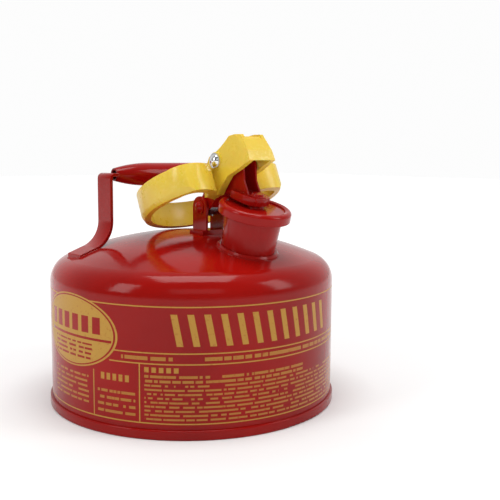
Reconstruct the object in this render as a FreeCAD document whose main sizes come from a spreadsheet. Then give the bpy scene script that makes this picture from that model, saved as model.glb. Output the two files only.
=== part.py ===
import FreeCAD, Part
import os
import re
import Sketcher
from FreeCAD import Placement, Rotation, Vector

# Safety can: a drawn steel can with a self-closing spout cap, a fixed carrying
# handle and a finger ring that pulls the cap open.
# Origin: centre of the base, on the floor. +Z up. The spout is at the front, -Y.
# Every size is in millimetres and every angle in degrees.

SIZES = {
    # can body and bottom
    "can_radius": 112.5,
    "can_height": 134.5,
    "sheet": 1.2,
    "shoulder_radius": 19.0,
    "crown_radius": 262.9,
    "wall_foot": 1.4,
    "seam_radius": 114.3,
    "seam_height": 7.0,
    "seam_fold": 1.3,
    "seam_round": 1.0,
    "fit_gap": 0.02,
    "bottom_recess": 5.5,
    # spout, square to the crown
    "spout_tilt": 14.9,
    "spout_root_radius": 20.0,
    "spout_top_radius": 21.2,
    "spout_depth": 4.0,
    "spout_length": 28.0,
    "spout_clearance": 0.25,
    "lip_radius": 23.0,
    "lip_depth": 2.6,
    "flange_radius": 23.2,
    "flange_thick": 1.4,
    # flame arrester
    "screen_radius": 15.2,
    "screen_wall": 0.6,
    "screen_bottom": -52.0,
    "screen_top": 24.0,
    "slot_width": 3.2,
    "slot_length": 17.0,
    "slot_pitch": 21.0,
    "slot_tiers": 3,
    "slots_across": 6,
    "collar_radius": 19.4,
    "collar_depth": 5.0,
    "collar_lip": 1.2,
    # cap, measured along the spout's own axis
    "gasket_thick": 2.3,
    "gasket_radius": 24.2,
    "lid_radius": 27.0,
    "lid_skirt": 25.6,
    "lid_wall": 2.0,
    "lid_round": 3.0,
    "lid_hem": 0.6,
    "lid_top": 33.6,
    "lid_floor": 31.9,
    "lid_floor_radius": 21.5,
    "retainer_radius": 13.5,
    "retainer_thick": 1.0,
    "stem_radius": 2.6,
    "stem_head_radius": 4.6,
    "stem_head_thick": 1.4,
    "stem_washer_radius": 6.2,
    "washer_thick": 0.8,
    "pad_radius": 11.3,
    "pad_back": 4.0,
    "pad_level": 34.4,
    "plate_length": 13.0,
    "pad_thick": 6.0,
    "cone_outer": 6.0,
    "cone_inner": 3.4,
    "cone_sheet": 0.7,
    # hinge
    "hinge_front": 21.0,
    "hinge_level": 154.0,
    "hinge_pin_radius": 3.0,
    "hinge_head_radius": 4.4,
    "hinge_washer_radius": 5.6,
    "running_gap": 0.05,
    "ear_radius": 8.4,
    "ear_inner": 7.6,
    "ear_thick": 2.0,
    "bracket_root": 122.0,
    "bracket_floor": 136.4,
    "bracket_foot": 12.6,
    "bush_wall": 1.6,
    "bush_half_length": 4.9,
    "closing_coil_radius": 5.9,
    "closing_wire": 0.7,
    "closing_pitch": 1.55,
    "closing_turns": 5.0,
    "closing_leg": 9.0,
    # lever
    "lever_half_width": 6.6,
    "lever_wall": 1.6,
    "lever_eye": 6.2,
    "lever_top_ahead": 17.0,
    "lever_top_rise": 3.0,
    "lever_nose_ahead": 24.0,
    "lever_nose_drop": 0.5,
    "lever_front_ahead": 25.0,
    "lever_front_drop": 14.0,
    "lever_shin_behind": 3.0,
    "lever_toe_inset": 1.0,
    "lever_step_behind": 19.0,
    "lever_belly_ahead": 25.5,
    "lever_belly_rise": 14.0,
    "lever_heel_ahead": 3.0,
    "lever_heel_drop": 5.4,
    "web_front_ahead": 24.3,
    "web_front_rise": 15.6,
    "web_rear_ahead": 9.0,
    "web_rear_rise": 2.0,
    "channel_front_ahead": 14.0,
    "channel_spare": 20.0,
    "channel_reach": 80.0,
    "rivet_front": 45.0,
    "rivet_level": 190.0,
    "rivet_eye": 6.5,
    "rivet_radius": 2.5,
    "rivet_head_radius": 4.7,
    "rivet_head_rise": 2.5,
    "rivet_washer_radius": 5.8,
    # finger ring, laid out in its own tilted plane
    "ring_front": 22.0,
    "ring_level": 164.8,
    "ring_tilt": 23.4,
    "ring_radius": 56.0,
    "ring_thick": 7.0,
    "ring_height": 20.6,
    "bevel_width": 1.8,
    "bevel_rise": 3.6,
    "side_across": 52.0,
    "lobe_across": 35.0,
    "lobe_ahead": 36.5,
    "notch_across": 19.5,
    "notch_ahead": 31.5,
    "neck_ahead": 25.0,
    "neck_inner_across": 17.5,
    "neck_inner_ahead": 17.5,
    "neck_rear": 13.0,
    # hood: half widths, then each corner's distance ahead of the can's axis and level
    "hood_half_width": 14.5,
    "hood_inner": 8.1,
    "hood_top_half_width": 10.6,
    "hood_taper_level": 172.0,
    "hood_top": 209.4,
    "hood_rear": 34.0,
    "hood_root_level": 162.0,
    "hood_back_level": 186.0,
    "hood_crest": 36.6,
    "hood_crest_level": 192.6,
    "hood_sweep": 60.0,
    "hood_brow": 57.5,
    "hood_brow_level": 208.2,
    "hood_top_rear": 64.0,
    "hood_top_front": 71.0,
    "hood_nose": 80.0,
    "hood_nose_level": 198.0,
    "hood_lip": 83.0,
    "hood_lip_level": 190.8,
    "cheek_front": 70.5,
    "cheek_front_level": 184.0,
    "cheek_middle": 60.0,
    "cheek_middle_level": 179.0,
    "cheek_rear": 54.0,
    "cheek_rear_level": 171.5,
    "cheek_root": 49.0,
    "cheek_root_level": 164.8,
    # groove along the hood's top
    "hood_rim": 1.6,
    "groove_rear": 50.0,
    "groove_rear_fall": 3.0,
    "groove_front": 73.0,
    "groove_end": 84.0,
    # space inside the hood
    "mouth_rear": 15.0,
    "mouth_low_level": 150.0,
    "mouth_high_level": 215.0,
    "slot_end_top": 53.0,
    "slot_end": 56.0,
    "slot_end_level": 201.0,
    "roof_front": 70.0,
    "roof_level": 204.8,
    "mouth_nose": 77.0,
    "mouth_nose_level": 195.5,
    "mouth_front": 88.0,
    "mouth_front_level": 186.0,
    "boss_half_width": 13.4,
    "boss_radius": 6.4,
    # carrying handle
    "handle_back": 26.0,
    "leg_outer": 66.3,
    "strap_width": 19.0,
    "strap_thick": 2.6,
    "bar_top": 179.8,
    "bar_bend": 4.0,
    "foot_bend": 20.6,
    "foot_bend_level": 143.0,
    "foot_slope": 19.5,
    "foot_reach": 93.0,
    "foot_spare": 3.0,
    "grip_radius": 9.2,
    "grip_half_length": 57.0,
    "grip_straight": 25.0,
    "grip_end_radius": 5.0,
    "grip_wall": 1.2,
    "grip_bore": 3.6,
    "bar_width": 6.4,
    "cut_margin": 1.0,
}

doc = FreeCAD.newDocument("safety_can")
sheet = doc.addObject("Spreadsheet::Sheet", "Dims")
for row, (alias, size) in enumerate(SIZES.items(), start=1):
    sheet.set(f"A{row}", alias)
    sheet.set(f"B{row}", str(size))
    sheet.setAlias(f"B{row}", alias)
doc.recompute()

SUB_PARTS = []
STRAIGHT = 0.01


# ---------------------------------------------------------------- helpers

def bound(expression):
    """Write each size name in an expression as a reference to the sheet."""
    return re.sub(r"[a-z_]+", lambda word: f"Dims.{word[0]}" if word[0] in SIZES else word[0], expression)


def value(expression):
    """Work an expression out to a plain number."""
    result = sheet.evalExpression(bound(expression))
    return float(getattr(result, "Value", result))


def bind(item, prop, expression):
    """Bind one property of an object to the sheet."""
    item.setExpression(prop, bound(expression))


def place(item, x="0", y="0", z="0", axis=(0, 0, 1), angle="0"):
    """Place an object, with its position and turn bound to the sheet."""
    item.Placement = Placement(Vector(value(x), value(y), value(z)), Rotation(Vector(*axis), value(angle)))
    for side, expression in (("x", x), ("y", y), ("z", z)):
        if expression != "0":
            bind(item, f"Placement.Base.{side}", expression)
    if angle in SIZES:
        bind(item, "Placement.Rotation.Angle", angle)
    return item


def keep(item, label):
    """Give a finished sub-part its name and keep it for export."""
    item.Label = label
    SUB_PARTS.append(item)
    return item


def new_body(title):
    """Start a body."""
    return doc.addObject("PartDesign::Body", title)


def new_sketch(body, plane, title):
    """Start a sketch on one of the body's own origin planes."""
    sketch = body.newObject("Sketcher::SketchObject", title)
    support = next(item for item in body.Origin.OriginFeatures if item.Role == plane)
    sketch.AttachmentSupport = [(support, "")]
    sketch.MapMode = "FlatFace"
    return sketch


def fix_point(sketch, edge, end, x, y):
    """Fix one end of an edge at a place bound to the sheet."""
    for kind, axis, expression in (("DistanceX", -2, x), ("DistanceY", -1, y)):
        if expression == "0":
            sketch.addConstraint(Sketcher.Constraint("PointOnObject", edge, end, axis))
        else:
            rule = sketch.addConstraint(Sketcher.Constraint(kind, -1, 1, edge, end, value(expression)))
            bind(sketch, f"Constraints[{rule}]", expression)


def arc_between(start, end, radius, turns_left):
    """The short arc of a given radius between two points."""
    chord = end.sub(start)
    left = Vector(-chord.y, chord.x, 0).normalize()
    if not turns_left:
        left = left.negative()
    offset = max(radius ** 2 - (chord.Length / 2) ** 2, 0.0) ** 0.5
    centre = start.add(end).multiply(0.5).add(left * offset)
    return Part.Arc(start, centre.sub(left * radius), end)


def draw(sketch, corners):
    """Draw a closed outline. A corner is (x, y), or (x, y, radius, side) where the
    edge after it is an arc that turns to that side."""
    points = [Vector(value(corner[0]), value(corner[1]), 0) for corner in corners]
    first = None
    before = None
    for index, corner in enumerate(corners):
        start = points[index]
        end = points[(index + 1) % len(points)]
        start_end, far_end = 1, 2
        if len(corner) == 2:
            edge = sketch.addGeometry(Part.LineSegment(start, end))
        else:
            turns_left = corner[3] == "left"
            edge = sketch.addGeometry(arc_between(start, end, value(corner[2]), turns_left))
            if not turns_left:
                start_end, far_end = 2, 1
            rule = sketch.addConstraint(Sketcher.Constraint("Radius", edge, value(corner[2])))
            bind(sketch, f"Constraints[{rule}]", corner[2])
        fix_point(sketch, edge, start_end, corner[0], corner[1])
        if before is not None:
            sketch.addConstraint(Sketcher.Constraint("Coincident", before[0], before[1], edge, start_end))
        else:
            first = (edge, start_end)
        before = (edge, far_end)
    sketch.addConstraint(Sketcher.Constraint("Coincident", before[0], before[1], first[0], first[1]))


def draw_circle(sketch, x, y, radius):
    """Draw a circle bound to the sheet."""
    circle = Part.Circle(Vector(value(x), value(y), 0), Vector(0, 0, 1), value(radius))
    edge = sketch.addGeometry(circle)
    rule = sketch.addConstraint(Sketcher.Constraint("Radius", edge, value(radius)))
    bind(sketch, f"Constraints[{rule}]", radius)
    fix_point(sketch, edge, 3, x, y)


def revolve(title, plane, corners, axis="V_Axis"):
    """A body turned from one outline about an axis of its sketch."""
    body = new_body(title)
    sketch = new_sketch(body, plane, f"{title}_outline")
    draw(sketch, corners)
    turned = body.newObject("PartDesign::Revolution", f"{title}_turned")
    turned.Profile = sketch
    turned.ReferenceAxis = (sketch, [axis])
    turned.Angle = 360
    return body


def pad(body, sketch, title, length):
    """Raise a sketch evenly to both sides."""
    raised = body.newObject("PartDesign::Pad", title)
    raised.Profile = sketch
    raised.Midplane = True
    bind(raised, "Length", length)
    return raised


def pocket(body, sketch, title, length=None):
    """Cut a sketch evenly to both sides, right through when no length is given."""
    cut = body.newObject("PartDesign::Pocket", title)
    cut.Profile = sketch
    cut.Midplane = True
    if length is None:
        cut.Type = "ThroughAll"
    else:
        bind(cut, "Length", length)
    return cut


def cylinder(title, radius, height):
    """A plain cylinder bound to the sheet."""
    item = doc.addObject("Part::Cylinder", title)
    bind(item, "Radius", radius)
    bind(item, "Height", height)
    return item


def combine(kind, title, base, tool):
    """Cut or fuse two solids."""
    item = doc.addObject(kind, title)
    item.Base = base
    item.Tool = tool
    return item


def group(title, items):
    """Keep separate solids together under one name."""
    item = doc.addObject("Part::Compound", title)
    item.Links = items
    return item


# The crown is part of a ball, and the shoulder rounds it into the wall.
CROWN_CENTRE = "(can_height - crown_radius)"
SHOULDER_IN = "(can_radius - shoulder_radius)"
CROWN_IN = "(crown_radius - shoulder_radius)"
SHOULDER_RISE = f"sqrt({CROWN_IN} ^ 2 - {SHOULDER_IN} ^ 2)"
SHOULDER_LEVEL = f"({CROWN_CENTRE} + {SHOULDER_RISE})"

# The spout stands square to the crown. Its own origin is on the crown's surface.
SPOUT_FRONT = "(crown_radius * sin(spout_tilt))"
SPOUT_LEVEL = f"({CROWN_CENTRE} + crown_radius * cos(spout_tilt))"


def on_spout(item):
    """Place an object in the spout's own frame."""
    return place(item, y=f"-{SPOUT_FRONT}", z=SPOUT_LEVEL, axis=(1, 0, 0), angle="spout_tilt")


def spout_point(level, ahead):
    """A point above the spout, as (y, z) of the can."""
    y = f"-({SPOUT_FRONT} + ({level}) * sin(spout_tilt) + ({ahead}) * cos(spout_tilt))"
    z = f"({SPOUT_LEVEL} + ({level}) * cos(spout_tilt) - ({ahead}) * sin(spout_tilt))"
    return y, z


def above_spout(item, level, ahead="0", x="0"):
    """Stand an object square to the crown at a level above the spout's foot."""
    y, z = spout_point(level, ahead)
    return place(item, x=x, y=y, z=z, axis=(1, 0, 0), angle="spout_tilt")


def trim_on_crown(title, item):
    """Trim the underside of a welded piece so that it sits on the crown."""
    ball = doc.addObject("Part::Sphere", f"{title}_crown_ball")
    bind(ball, "Radius", "crown_radius + fit_gap")
    place(ball, z=CROWN_CENTRE)
    return combine("Part::Cut", f"{title}_trimmed", item, ball)


# ---------------------------------------------------------------- can

def tangent_point(radius):
    """Where the crown of a given radius meets its shoulder, as (x, z)."""
    x = f"({radius}) * {SHOULDER_IN} / {CROWN_IN}"
    z = f"{CROWN_CENTRE} + ({radius}) * {SHOULDER_RISE} / {CROWN_IN}"
    return x, z


def can_body():
    """One-piece drawn wall, shoulder and crown, with the spout's hole."""
    body = revolve("can_body_shell", "XZ_Plane", [
        ("can_radius", "wall_foot"),
        ("can_radius", SHOULDER_LEVEL, "shoulder_radius", "left"),
        (*tangent_point("crown_radius"), "crown_radius", "left"),
        ("0", "can_height"),
        ("0", "can_height - sheet", "crown_radius - sheet", "right"),
        (*tangent_point("crown_radius - sheet"), "shoulder_radius - sheet", "right"),
        ("can_radius - sheet", SHOULDER_LEVEL),
        ("can_radius - sheet", "wall_foot"),
    ])
    hole = cylinder("can_body_spout_hole", "spout_root_radius + spout_clearance", "4 * spout_depth")
    above_spout(hole, "-2 * spout_depth")
    keep(combine("Part::Cut", "can_body", body, hole), "can_body")


def can_bottom():
    """Recessed bottom with the rolled seam that holds the foot of the wall."""
    inner = "(can_radius - sheet - fit_gap)"
    keep(revolve("can_bottom", "XZ_Plane", [
        (f"{inner} - seam_fold", "0"),
        ("seam_radius - seam_round", "0", "seam_round", "left"),
        ("seam_radius", "seam_round"),
        ("seam_radius", "seam_height - seam_round", "seam_round", "left"),
        ("seam_radius - seam_round", "seam_height"),
        ("can_radius + fit_gap", "seam_height"),
        ("can_radius + fit_gap", "seam_fold"),
        (inner, "seam_fold"),
        (inner, "bottom_recess"),
        ("0", "bottom_recess"),
        ("0", "bottom_recess - sheet"),
        (f"{inner} - seam_fold", "bottom_recess - sheet"),
    ]), "can_bottom")


# ---------------------------------------------------------------- spout

def spout_tube():
    """Slightly flared tube with a rolled lip."""
    half_lip = "lip_depth / 2"
    keep(on_spout(revolve("spout_tube", "XZ_Plane", [
        ("spout_root_radius - sheet", "-spout_depth"),
        ("spout_root_radius", "-spout_depth"),
        ("spout_top_radius", "spout_length - lip_depth"),
        (f"lip_radius - {half_lip}", "spout_length - lip_depth", half_lip, "left"),
        ("lip_radius", f"spout_length - {half_lip}", half_lip, "left"),
        (f"lip_radius - {half_lip}", "spout_length"),
        ("spout_top_radius - sheet", "spout_length"),
    ])), "spout_tube")


def spout_flange():
    """Weld collar round the foot of the spout."""
    inner = "spout_root_radius + spout_clearance"
    keep(on_spout(revolve("spout_flange", "XZ_Plane", [
        (inner, f"sqrt(crown_radius ^ 2 - ({inner}) ^ 2) - crown_radius + fit_gap"),
        ("flange_radius", "sqrt(crown_radius ^ 2 - flange_radius ^ 2) - crown_radius + fit_gap"),
        ("flange_radius", "0"),
        ("flange_radius - flange_thick", "flange_thick"),
        (inner, "flange_thick"),
    ])), "spout_flange")


def arrester_screen():
    """Slotted cup that hangs in the spout and stops a flame."""
    body = revolve("arrester_screen", "XZ_Plane", [
        ("screen_radius - screen_wall", "screen_bottom + screen_wall"),
        ("0", "screen_bottom + screen_wall"),
        ("0", "screen_bottom"),
        ("screen_radius", "screen_bottom"),
        ("screen_radius", "screen_top"),
        ("screen_radius - screen_wall", "screen_top"),
    ])
    slots = new_sketch(body, "XZ_Plane", "arrester_slots")
    for tier in range(SIZES["slot_tiers"]):
        low = f"screen_bottom + slot_width + {tier} * slot_pitch"
        draw(slots, [
            ("-slot_width / 2", low),
            ("slot_width / 2", low),
            ("slot_width / 2", f"{low} + slot_length"),
            ("-slot_width / 2", f"{low} + slot_length"),
        ])
    cut = pocket(body, slots, "arrester_slot_cut")
    doc.recompute()
    around = body.newObject("PartDesign::PolarPattern", "arrester_slots_around")
    around.Originals = [cut]
    around.Axis = (slots, ["V_Axis"])
    bind(around, "Angle", "180 - 180 / slots_across")
    bind(around, "Occurrences", "slots_across")
    body.Tip = around
    keep(on_spout(body), "arrester_screen")


def arrester_collar():
    """Ring that holds the screen in the spout."""
    inner = "screen_radius + fit_gap"
    keep(on_spout(revolve("arrester_collar", "XZ_Plane", [
        (inner, "screen_top - collar_depth"),
        ("collar_radius", "screen_top - collar_depth"),
        ("collar_radius", "screen_top + collar_lip"),
        ("screen_radius - screen_wall", "screen_top + collar_lip"),
        ("screen_radius - screen_wall", "screen_top + fit_gap"),
        (inner, "screen_top + fit_gap"),
    ])), "arrester_collar")


# ---------------------------------------------------------------- cap

GASKET_BOTTOM = "(spout_length + fit_gap)"
LID_UNDER = f"({GASKET_BOTTOM} + gasket_thick + fit_gap)"
RETAINER_BOTTOM = "(spout_length - retainer_thick)"
PAD_TOP = "(pad_level + pad_thick)"


def flat_ring(title, inner, outer, low, high):
    """A plain washer in the spout's frame."""
    return keep(on_spout(revolve(title, "XZ_Plane", [
        (inner, low), (outer, low), (outer, high), (inner, high),
    ])), title)


def cap_lid():
    """Round lid with a deep rounded rim that overhangs the spout."""
    hole = "stem_radius + fit_gap"
    skirt_inner = "lid_radius - lid_wall"
    keep(on_spout(revolve("cap_lid", "XZ_Plane", [
        (hole, LID_UNDER),
        (skirt_inner, LID_UNDER),
        (skirt_inner, "lid_skirt"),
        ("lid_radius - lid_hem", "lid_skirt", "lid_hem", "left"),
        ("lid_radius", "lid_skirt + lid_hem"),
        ("lid_radius", "lid_top - lid_round", "lid_round", "left"),
        ("lid_radius - lid_round", "lid_top"),
        ("lid_floor_radius + lid_hem", "lid_top - lid_hem"),
        ("lid_floor_radius", "lid_floor"),
        (hole, "lid_floor"),
    ])), "cap_lid")


def cap_stack():
    """Gasket, retainer and washer on the stem."""
    bore = "stem_radius + fit_gap"
    flat_ring("cap_gasket", bore, "gasket_radius", GASKET_BOTTOM, f"{GASKET_BOTTOM} + gasket_thick")
    flat_ring("gasket_retainer", bore, "retainer_radius", RETAINER_BOTTOM, "spout_length")
    flat_ring("stem_washer", bore, "stem_washer_radius", f"{PAD_TOP} + fit_gap",
              f"{PAD_TOP} + fit_gap + washer_thick")


def cap_stem():
    """Riveted stem through retainer, gasket, lid, lever and washer."""
    low = f"{RETAINER_BOTTOM} - fit_gap"
    high = f"{PAD_TOP} + 2 * fit_gap + washer_thick"
    keep(on_spout(revolve("cap_stem", "XZ_Plane", [
        ("0", f"{low} - stem_head_thick"),
        ("stem_head_radius - lid_hem", f"{low} - stem_head_thick"),
        ("stem_head_radius", low),
        ("stem_radius", low),
        ("stem_radius", high),
        ("stem_head_radius", high),
        ("stem_head_radius - lid_hem", f"{high} + stem_head_thick"),
        ("0", f"{high} + stem_head_thick"),
    ])), "cap_stem")


def coil(title, radius, wire, pitch, height):
    """A round wire swept along a helix about its own Z axis."""
    helix = doc.addObject("Part::Helix", f"{title}_helix")
    bind(helix, "Radius", radius)
    bind(helix, "Pitch", pitch)
    bind(helix, "Height", height)
    section = doc.addObject("Part::Circle", f"{title}_section")
    bind(section, "Radius", wire)
    place(section, x=radius, axis=(1, 0, 0), angle="90")
    doc.recompute()
    swept = doc.addObject("Part::Sweep", f"{title}_wire")
    swept.Sections = [section]
    swept.Spine = (helix, ["Edge1"])
    swept.Solid = True
    swept.Frenet = True
    return swept


def cap_spring():
    """Conical spring washer between lid and lever that seats the gasket evenly."""
    low = "lid_floor + fit_gap"
    high = "pad_level + pad_thick - lever_wall - fit_gap"
    keep(on_spout(revolve("cap_spring", "XZ_Plane", [
        ("cone_outer", low),
        ("cone_outer", f"{low} + cone_sheet"),
        ("cone_inner", high),
        ("cone_inner", f"{high} - cone_sheet"),
    ])), "cap_spring")


# ---------------------------------------------------------------- hinge

def crosswise(item, front, level, start="0"):
    """Lay an object's own Z axis along the can's X axis."""
    return place(item, x=start, y=f"-{front}", z=level, axis=(0, 1, 0), angle="90")


def hinge_bracket():
    """Two upright ears on a floor that is welded to the crown."""
    outer = "(ear_inner + ear_thick)"
    top = "hinge_level + ear_radius"
    body = new_body("hinge_bracket_shape")
    section = new_sketch(body, "XZ_Plane", "bracket_section")
    draw(section, [
        ("-bracket_foot", "bracket_root"),
        ("bracket_foot", "bracket_root"),
        ("bracket_foot", "bracket_floor - lid_hem"),
        (outer, "bracket_floor"),
        (outer, top),
        ("ear_inner", top),
        ("ear_inner", "bracket_floor"),
        ("-ear_inner", "bracket_floor"),
        ("-ear_inner", top),
        (f"-{outer}", top),
        (f"-{outer}", "bracket_floor"),
        ("-bracket_foot", "bracket_floor - lid_hem"),
    ])
    block = pad(body, section, "bracket_block", "2 * ear_radius")
    doc.recompute()
    tops = [f"Edge{number}" for number, edge in enumerate(block.Shape.Edges, start=1)
            if edge.BoundBox.ZMin > value(top) - STRAIGHT and edge.BoundBox.YLength < STRAIGHT]
    rounding = body.newObject("PartDesign::Fillet", "bracket_ear_round")
    rounding.Base = (block, tops)
    bind(rounding, "Radius", "ear_radius - fit_gap")
    doc.recompute()
    bore = new_sketch(body, "YZ_Plane", "bracket_bore")
    draw_circle(bore, "0", "hinge_level", "hinge_pin_radius + fit_gap")
    pocket(body, bore, "bracket_bore_cut")
    place(body, y="-hinge_front")
    keep(trim_on_crown("hinge_bracket", body), "hinge_bracket")


def cross_pin(title, radius, inner, head_radius, head_rise):
    """A headed pin that lies across the can, with a domed head at each end."""
    dome = f"(({head_radius}) ^ 2 + ({head_rise}) ^ 2) / (2 * ({head_rise}))"
    return revolve(title, "XY_Plane", [
        (f"-({inner} + {head_rise})", "0"),
        (f"({inner} + {head_rise})", "0", dome, "left"),
        (f"({inner})", head_radius),
        (f"({inner})", radius),
        (f"-({inner})", radius),
        (f"-({inner})", head_radius, dome, "left"),
    ], axis="H_Axis")


def washer_pair(title, bore, rim, inner, front, level):
    """Two like washers, one on each side."""
    pair = []
    for side, start in (("left", f"-({inner}) - washer_thick"), ("right", inner)):
        disc = crosswise(cylinder(f"{title}_{side}_disc", rim, "washer_thick"), front, level, start)
        hole = crosswise(cylinder(f"{title}_{side}_bore", bore, "washer_thick"), front, level, start)
        pair.append(combine("Part::Cut", f"{title}_{side}", disc, hole))
    keep(group(title, pair), title)


def hinge_pin():
    """Pin through both ears, its washers, and the bush that it carries."""
    washer_inner = "(ear_inner + ear_thick + fit_gap)"
    pin = cross_pin("hinge_pin", "hinge_pin_radius", f"{washer_inner} + washer_thick + fit_gap",
                    "hinge_head_radius", "ear_thick")
    keep(place(pin, y="-hinge_front", z="hinge_level"), "hinge_pin")
    washer_pair("hinge_washers", "hinge_pin_radius + fit_gap", "hinge_washer_radius",
                washer_inner, "hinge_front", "hinge_level")


def hinge_bush():
    """Sleeve that turns on the pin between the lever's cheeks."""
    bore = "hinge_pin_radius + running_gap"
    bush = revolve("hinge_bush", "XY_Plane", [
        ("-bush_half_length", bore),
        ("bush_half_length", bore),
        ("bush_half_length", f"{bore} + bush_wall"),
        ("-bush_half_length", f"{bore} + bush_wall"),
    ], axis="H_Axis")
    keep(place(bush, y="-hinge_front", z="hinge_level"), "hinge_bush")


def closing_spring():
    """Torsion spring round the bush, with a straight leg at each end."""
    length = "(closing_turns * closing_pitch)"
    swept = coil("closing_spring", "closing_coil_radius", "closing_wire", "closing_pitch", length)
    front_leg = cylinder("closing_spring_front_leg", "closing_wire", "closing_leg")
    place(front_leg, x="closing_coil_radius", axis=(1, 0, 0), angle="90")
    rear_leg = cylinder("closing_spring_rear_leg", "closing_wire", "closing_leg")
    place(rear_leg, x="closing_coil_radius", z=length, axis=(1, 0, 0), angle="-90")
    with_front = combine("Part::Fuse", "closing_spring_with_front", swept, front_leg)
    spring = combine("Part::Fuse", "closing_spring", with_front, rear_leg)
    keep(crosswise(spring, "hinge_front", "hinge_level", f"-{length} / 2"), "closing_spring")


# ---------------------------------------------------------------- lever

def tongue(title, radius, length, level, height):
    """A plate with a rounded front end, square to the crown."""
    disc = above_spout(cylinder(f"{title}_disc", radius, height), level, "-pad_back")
    plate = doc.addObject("Part::Box", f"{title}_plate")
    bind(plate, "Length", f"2 * {radius}")
    bind(plate, "Width", length)
    bind(plate, "Height", height)
    above_spout(plate, level, "-pad_back", f"-{radius}")
    return combine("Part::Fuse", title, plate, disc)


def cap_lever():
    """Folded channel from the hinge up to the rivet and forward to the lid, where it
    ends in a tray turned upside down."""
    toe = "pad_radius - pad_back - lever_toe_inset"
    body = new_body("cap_lever_shape")
    side = new_sketch(body, "YZ_Plane", "lever_side")
    draw(side, [
        ("-hinge_front", "hinge_level - lever_eye", "lever_eye", "left"),
        ("-hinge_front + lever_eye", "hinge_level"),
        ("-rivet_front + rivet_eye", "rivet_level", "rivet_eye", "left"),
        ("-rivet_front", "rivet_level + rivet_eye"),
        ("-(rivet_front + lever_top_ahead)", "rivet_level + lever_top_rise"),
        ("-(rivet_front + lever_nose_ahead)", "rivet_level - lever_nose_drop"),
        ("-(rivet_front + lever_front_ahead)", "rivet_level - lever_front_drop"),
        spout_point(PAD_TOP, "-lever_shin_behind"),
        spout_point(PAD_TOP, toe),
        spout_point("pad_level", toe),
        spout_point("pad_level", "-lever_step_behind"),
        ("-(hinge_front + lever_belly_ahead)", "hinge_level + lever_belly_rise"),
        ("-(hinge_front + lever_heel_ahead)", "hinge_level - lever_heel_drop"),
    ])
    pad(body, side, "lever_block", "2 * lever_half_width")
    channel = new_sketch(body, "YZ_Plane", "lever_channel")
    draw(channel, [
        ("-(hinge_front - channel_spare)", "hinge_level - channel_spare"),
        ("-(hinge_front - channel_spare)", "rivet_level + channel_spare"),
        ("-(hinge_front + channel_reach)", "rivet_level + channel_spare"),
        spout_point(PAD_TOP, "channel_front_ahead"),
        spout_point(PAD_TOP, "-lever_step_behind"),
        ("-(hinge_front + web_front_ahead)", "hinge_level + web_front_rise"),
        ("-(hinge_front + web_rear_ahead)", "hinge_level + web_rear_rise"),
        ("-(hinge_front + web_rear_ahead)", "hinge_level - channel_spare"),
    ])
    pocket(body, channel, "lever_channel_cut", "2 * (lever_half_width - lever_wall)")
    eyes = new_sketch(body, "YZ_Plane", "lever_eyes")
    draw_circle(eyes, "-hinge_front", "hinge_level", "hinge_pin_radius + running_gap")
    draw_circle(eyes, "-rivet_front", "rivet_level", "rivet_radius + running_gap")
    pocket(body, eyes, "lever_eye_cut")
    tray = tongue("cap_lever_tray", "pad_radius", "plate_length", "pad_level", "pad_thick")
    hollow = tongue("cap_lever_hollow", "(pad_radius - lever_wall)", "plate_length - lever_wall",
                    "pad_level - cut_margin", "pad_thick - lever_wall + cut_margin")
    block = combine("Part::Fuse", "cap_lever_block", body, tray)
    whole = combine("Part::Cut", "cap_lever_whole", block, hollow)
    bore = cylinder("cap_lever_stem_bore", "stem_radius + fit_gap", "4 * pad_thick")
    above_spout(bore, "pad_level - pad_thick")
    keep(combine("Part::Cut", "cap_lever", whole, bore), "cap_lever")


# ---------------------------------------------------------------- finger ring

def blend_radius(across, ahead):
    """Radius of the arc that leaves the lobe's tip level and reaches a point
    this far across and this far back from the tip."""
    return f"((({across}) ^ 2 + ({ahead}) ^ 2) / (2 * ({ahead})))"


SIDE_AHEAD = "sqrt(ring_radius ^ 2 - side_across ^ 2)"
NOTCH_ROUND = blend_radius("lobe_across - notch_across", "lobe_ahead - notch_ahead")
SIDE_ROUND = blend_radius("side_across - lobe_across", f"lobe_ahead - {SIDE_AHEAD}")


def inset(x, ahead, centre_ahead, radius):
    """The point ring_thick inside a rounded corner, towards the corner's centre."""
    share = f"(({radius}) - ring_thick) / ({radius})"
    inner_x = f"lobe_across + (({x}) - lobe_across) * {share}"
    inner_ahead = f"({centre_ahead}) + (({ahead}) - ({centre_ahead})) * {share}"
    return inner_x, inner_ahead


def ring_outline():
    """The C-shaped band: outer side out and round, inner side back."""
    notch_inner = inset("notch_across", "notch_ahead", f"lobe_ahead - {NOTCH_ROUND}", NOTCH_ROUND)
    side_inner = inset("side_across", SIDE_AHEAD, f"lobe_ahead - {SIDE_ROUND}", SIDE_ROUND)
    outer = [
        ("hood_inner", "neck_ahead"),
        ("hood_half_width", "neck_ahead"),
        ("notch_across", "notch_ahead", NOTCH_ROUND),
        ("lobe_across", "lobe_ahead", SIDE_ROUND),
        ("side_across", SIDE_AHEAD, "ring_radius"),
    ]
    inner = [
        ("hood_inner", "neck_rear"),
        ("neck_inner_across", "neck_inner_ahead"),
        (*notch_inner, f"{NOTCH_ROUND} - ring_thick"),
        ("lobe_across", "lobe_ahead - ring_thick", f"{SIDE_ROUND} - ring_thick"),
        (*side_inner, "ring_radius - ring_thick"),
    ]
    path = [corner(point[0], point[1], point[2:], "left") for point in outer]
    path.append(("0", "ring_radius", "ring_radius", "left"))
    path += mirrored(outer, "left")
    path += [corner(f"-({point[0]})", point[1], point[2:], "right") for point in inner]
    path.append(("0", "ring_radius - ring_thick", "ring_radius - ring_thick", "right"))
    path += [flip_x(point) for point in mirrored(inner, "right")]
    return path


def corner(x, ahead, radius, side):
    """A corner of the band; ahead is towards the spout, which is minus y."""
    return (x, f"-({ahead})", *((radius[0], side) if radius else ()))


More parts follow.
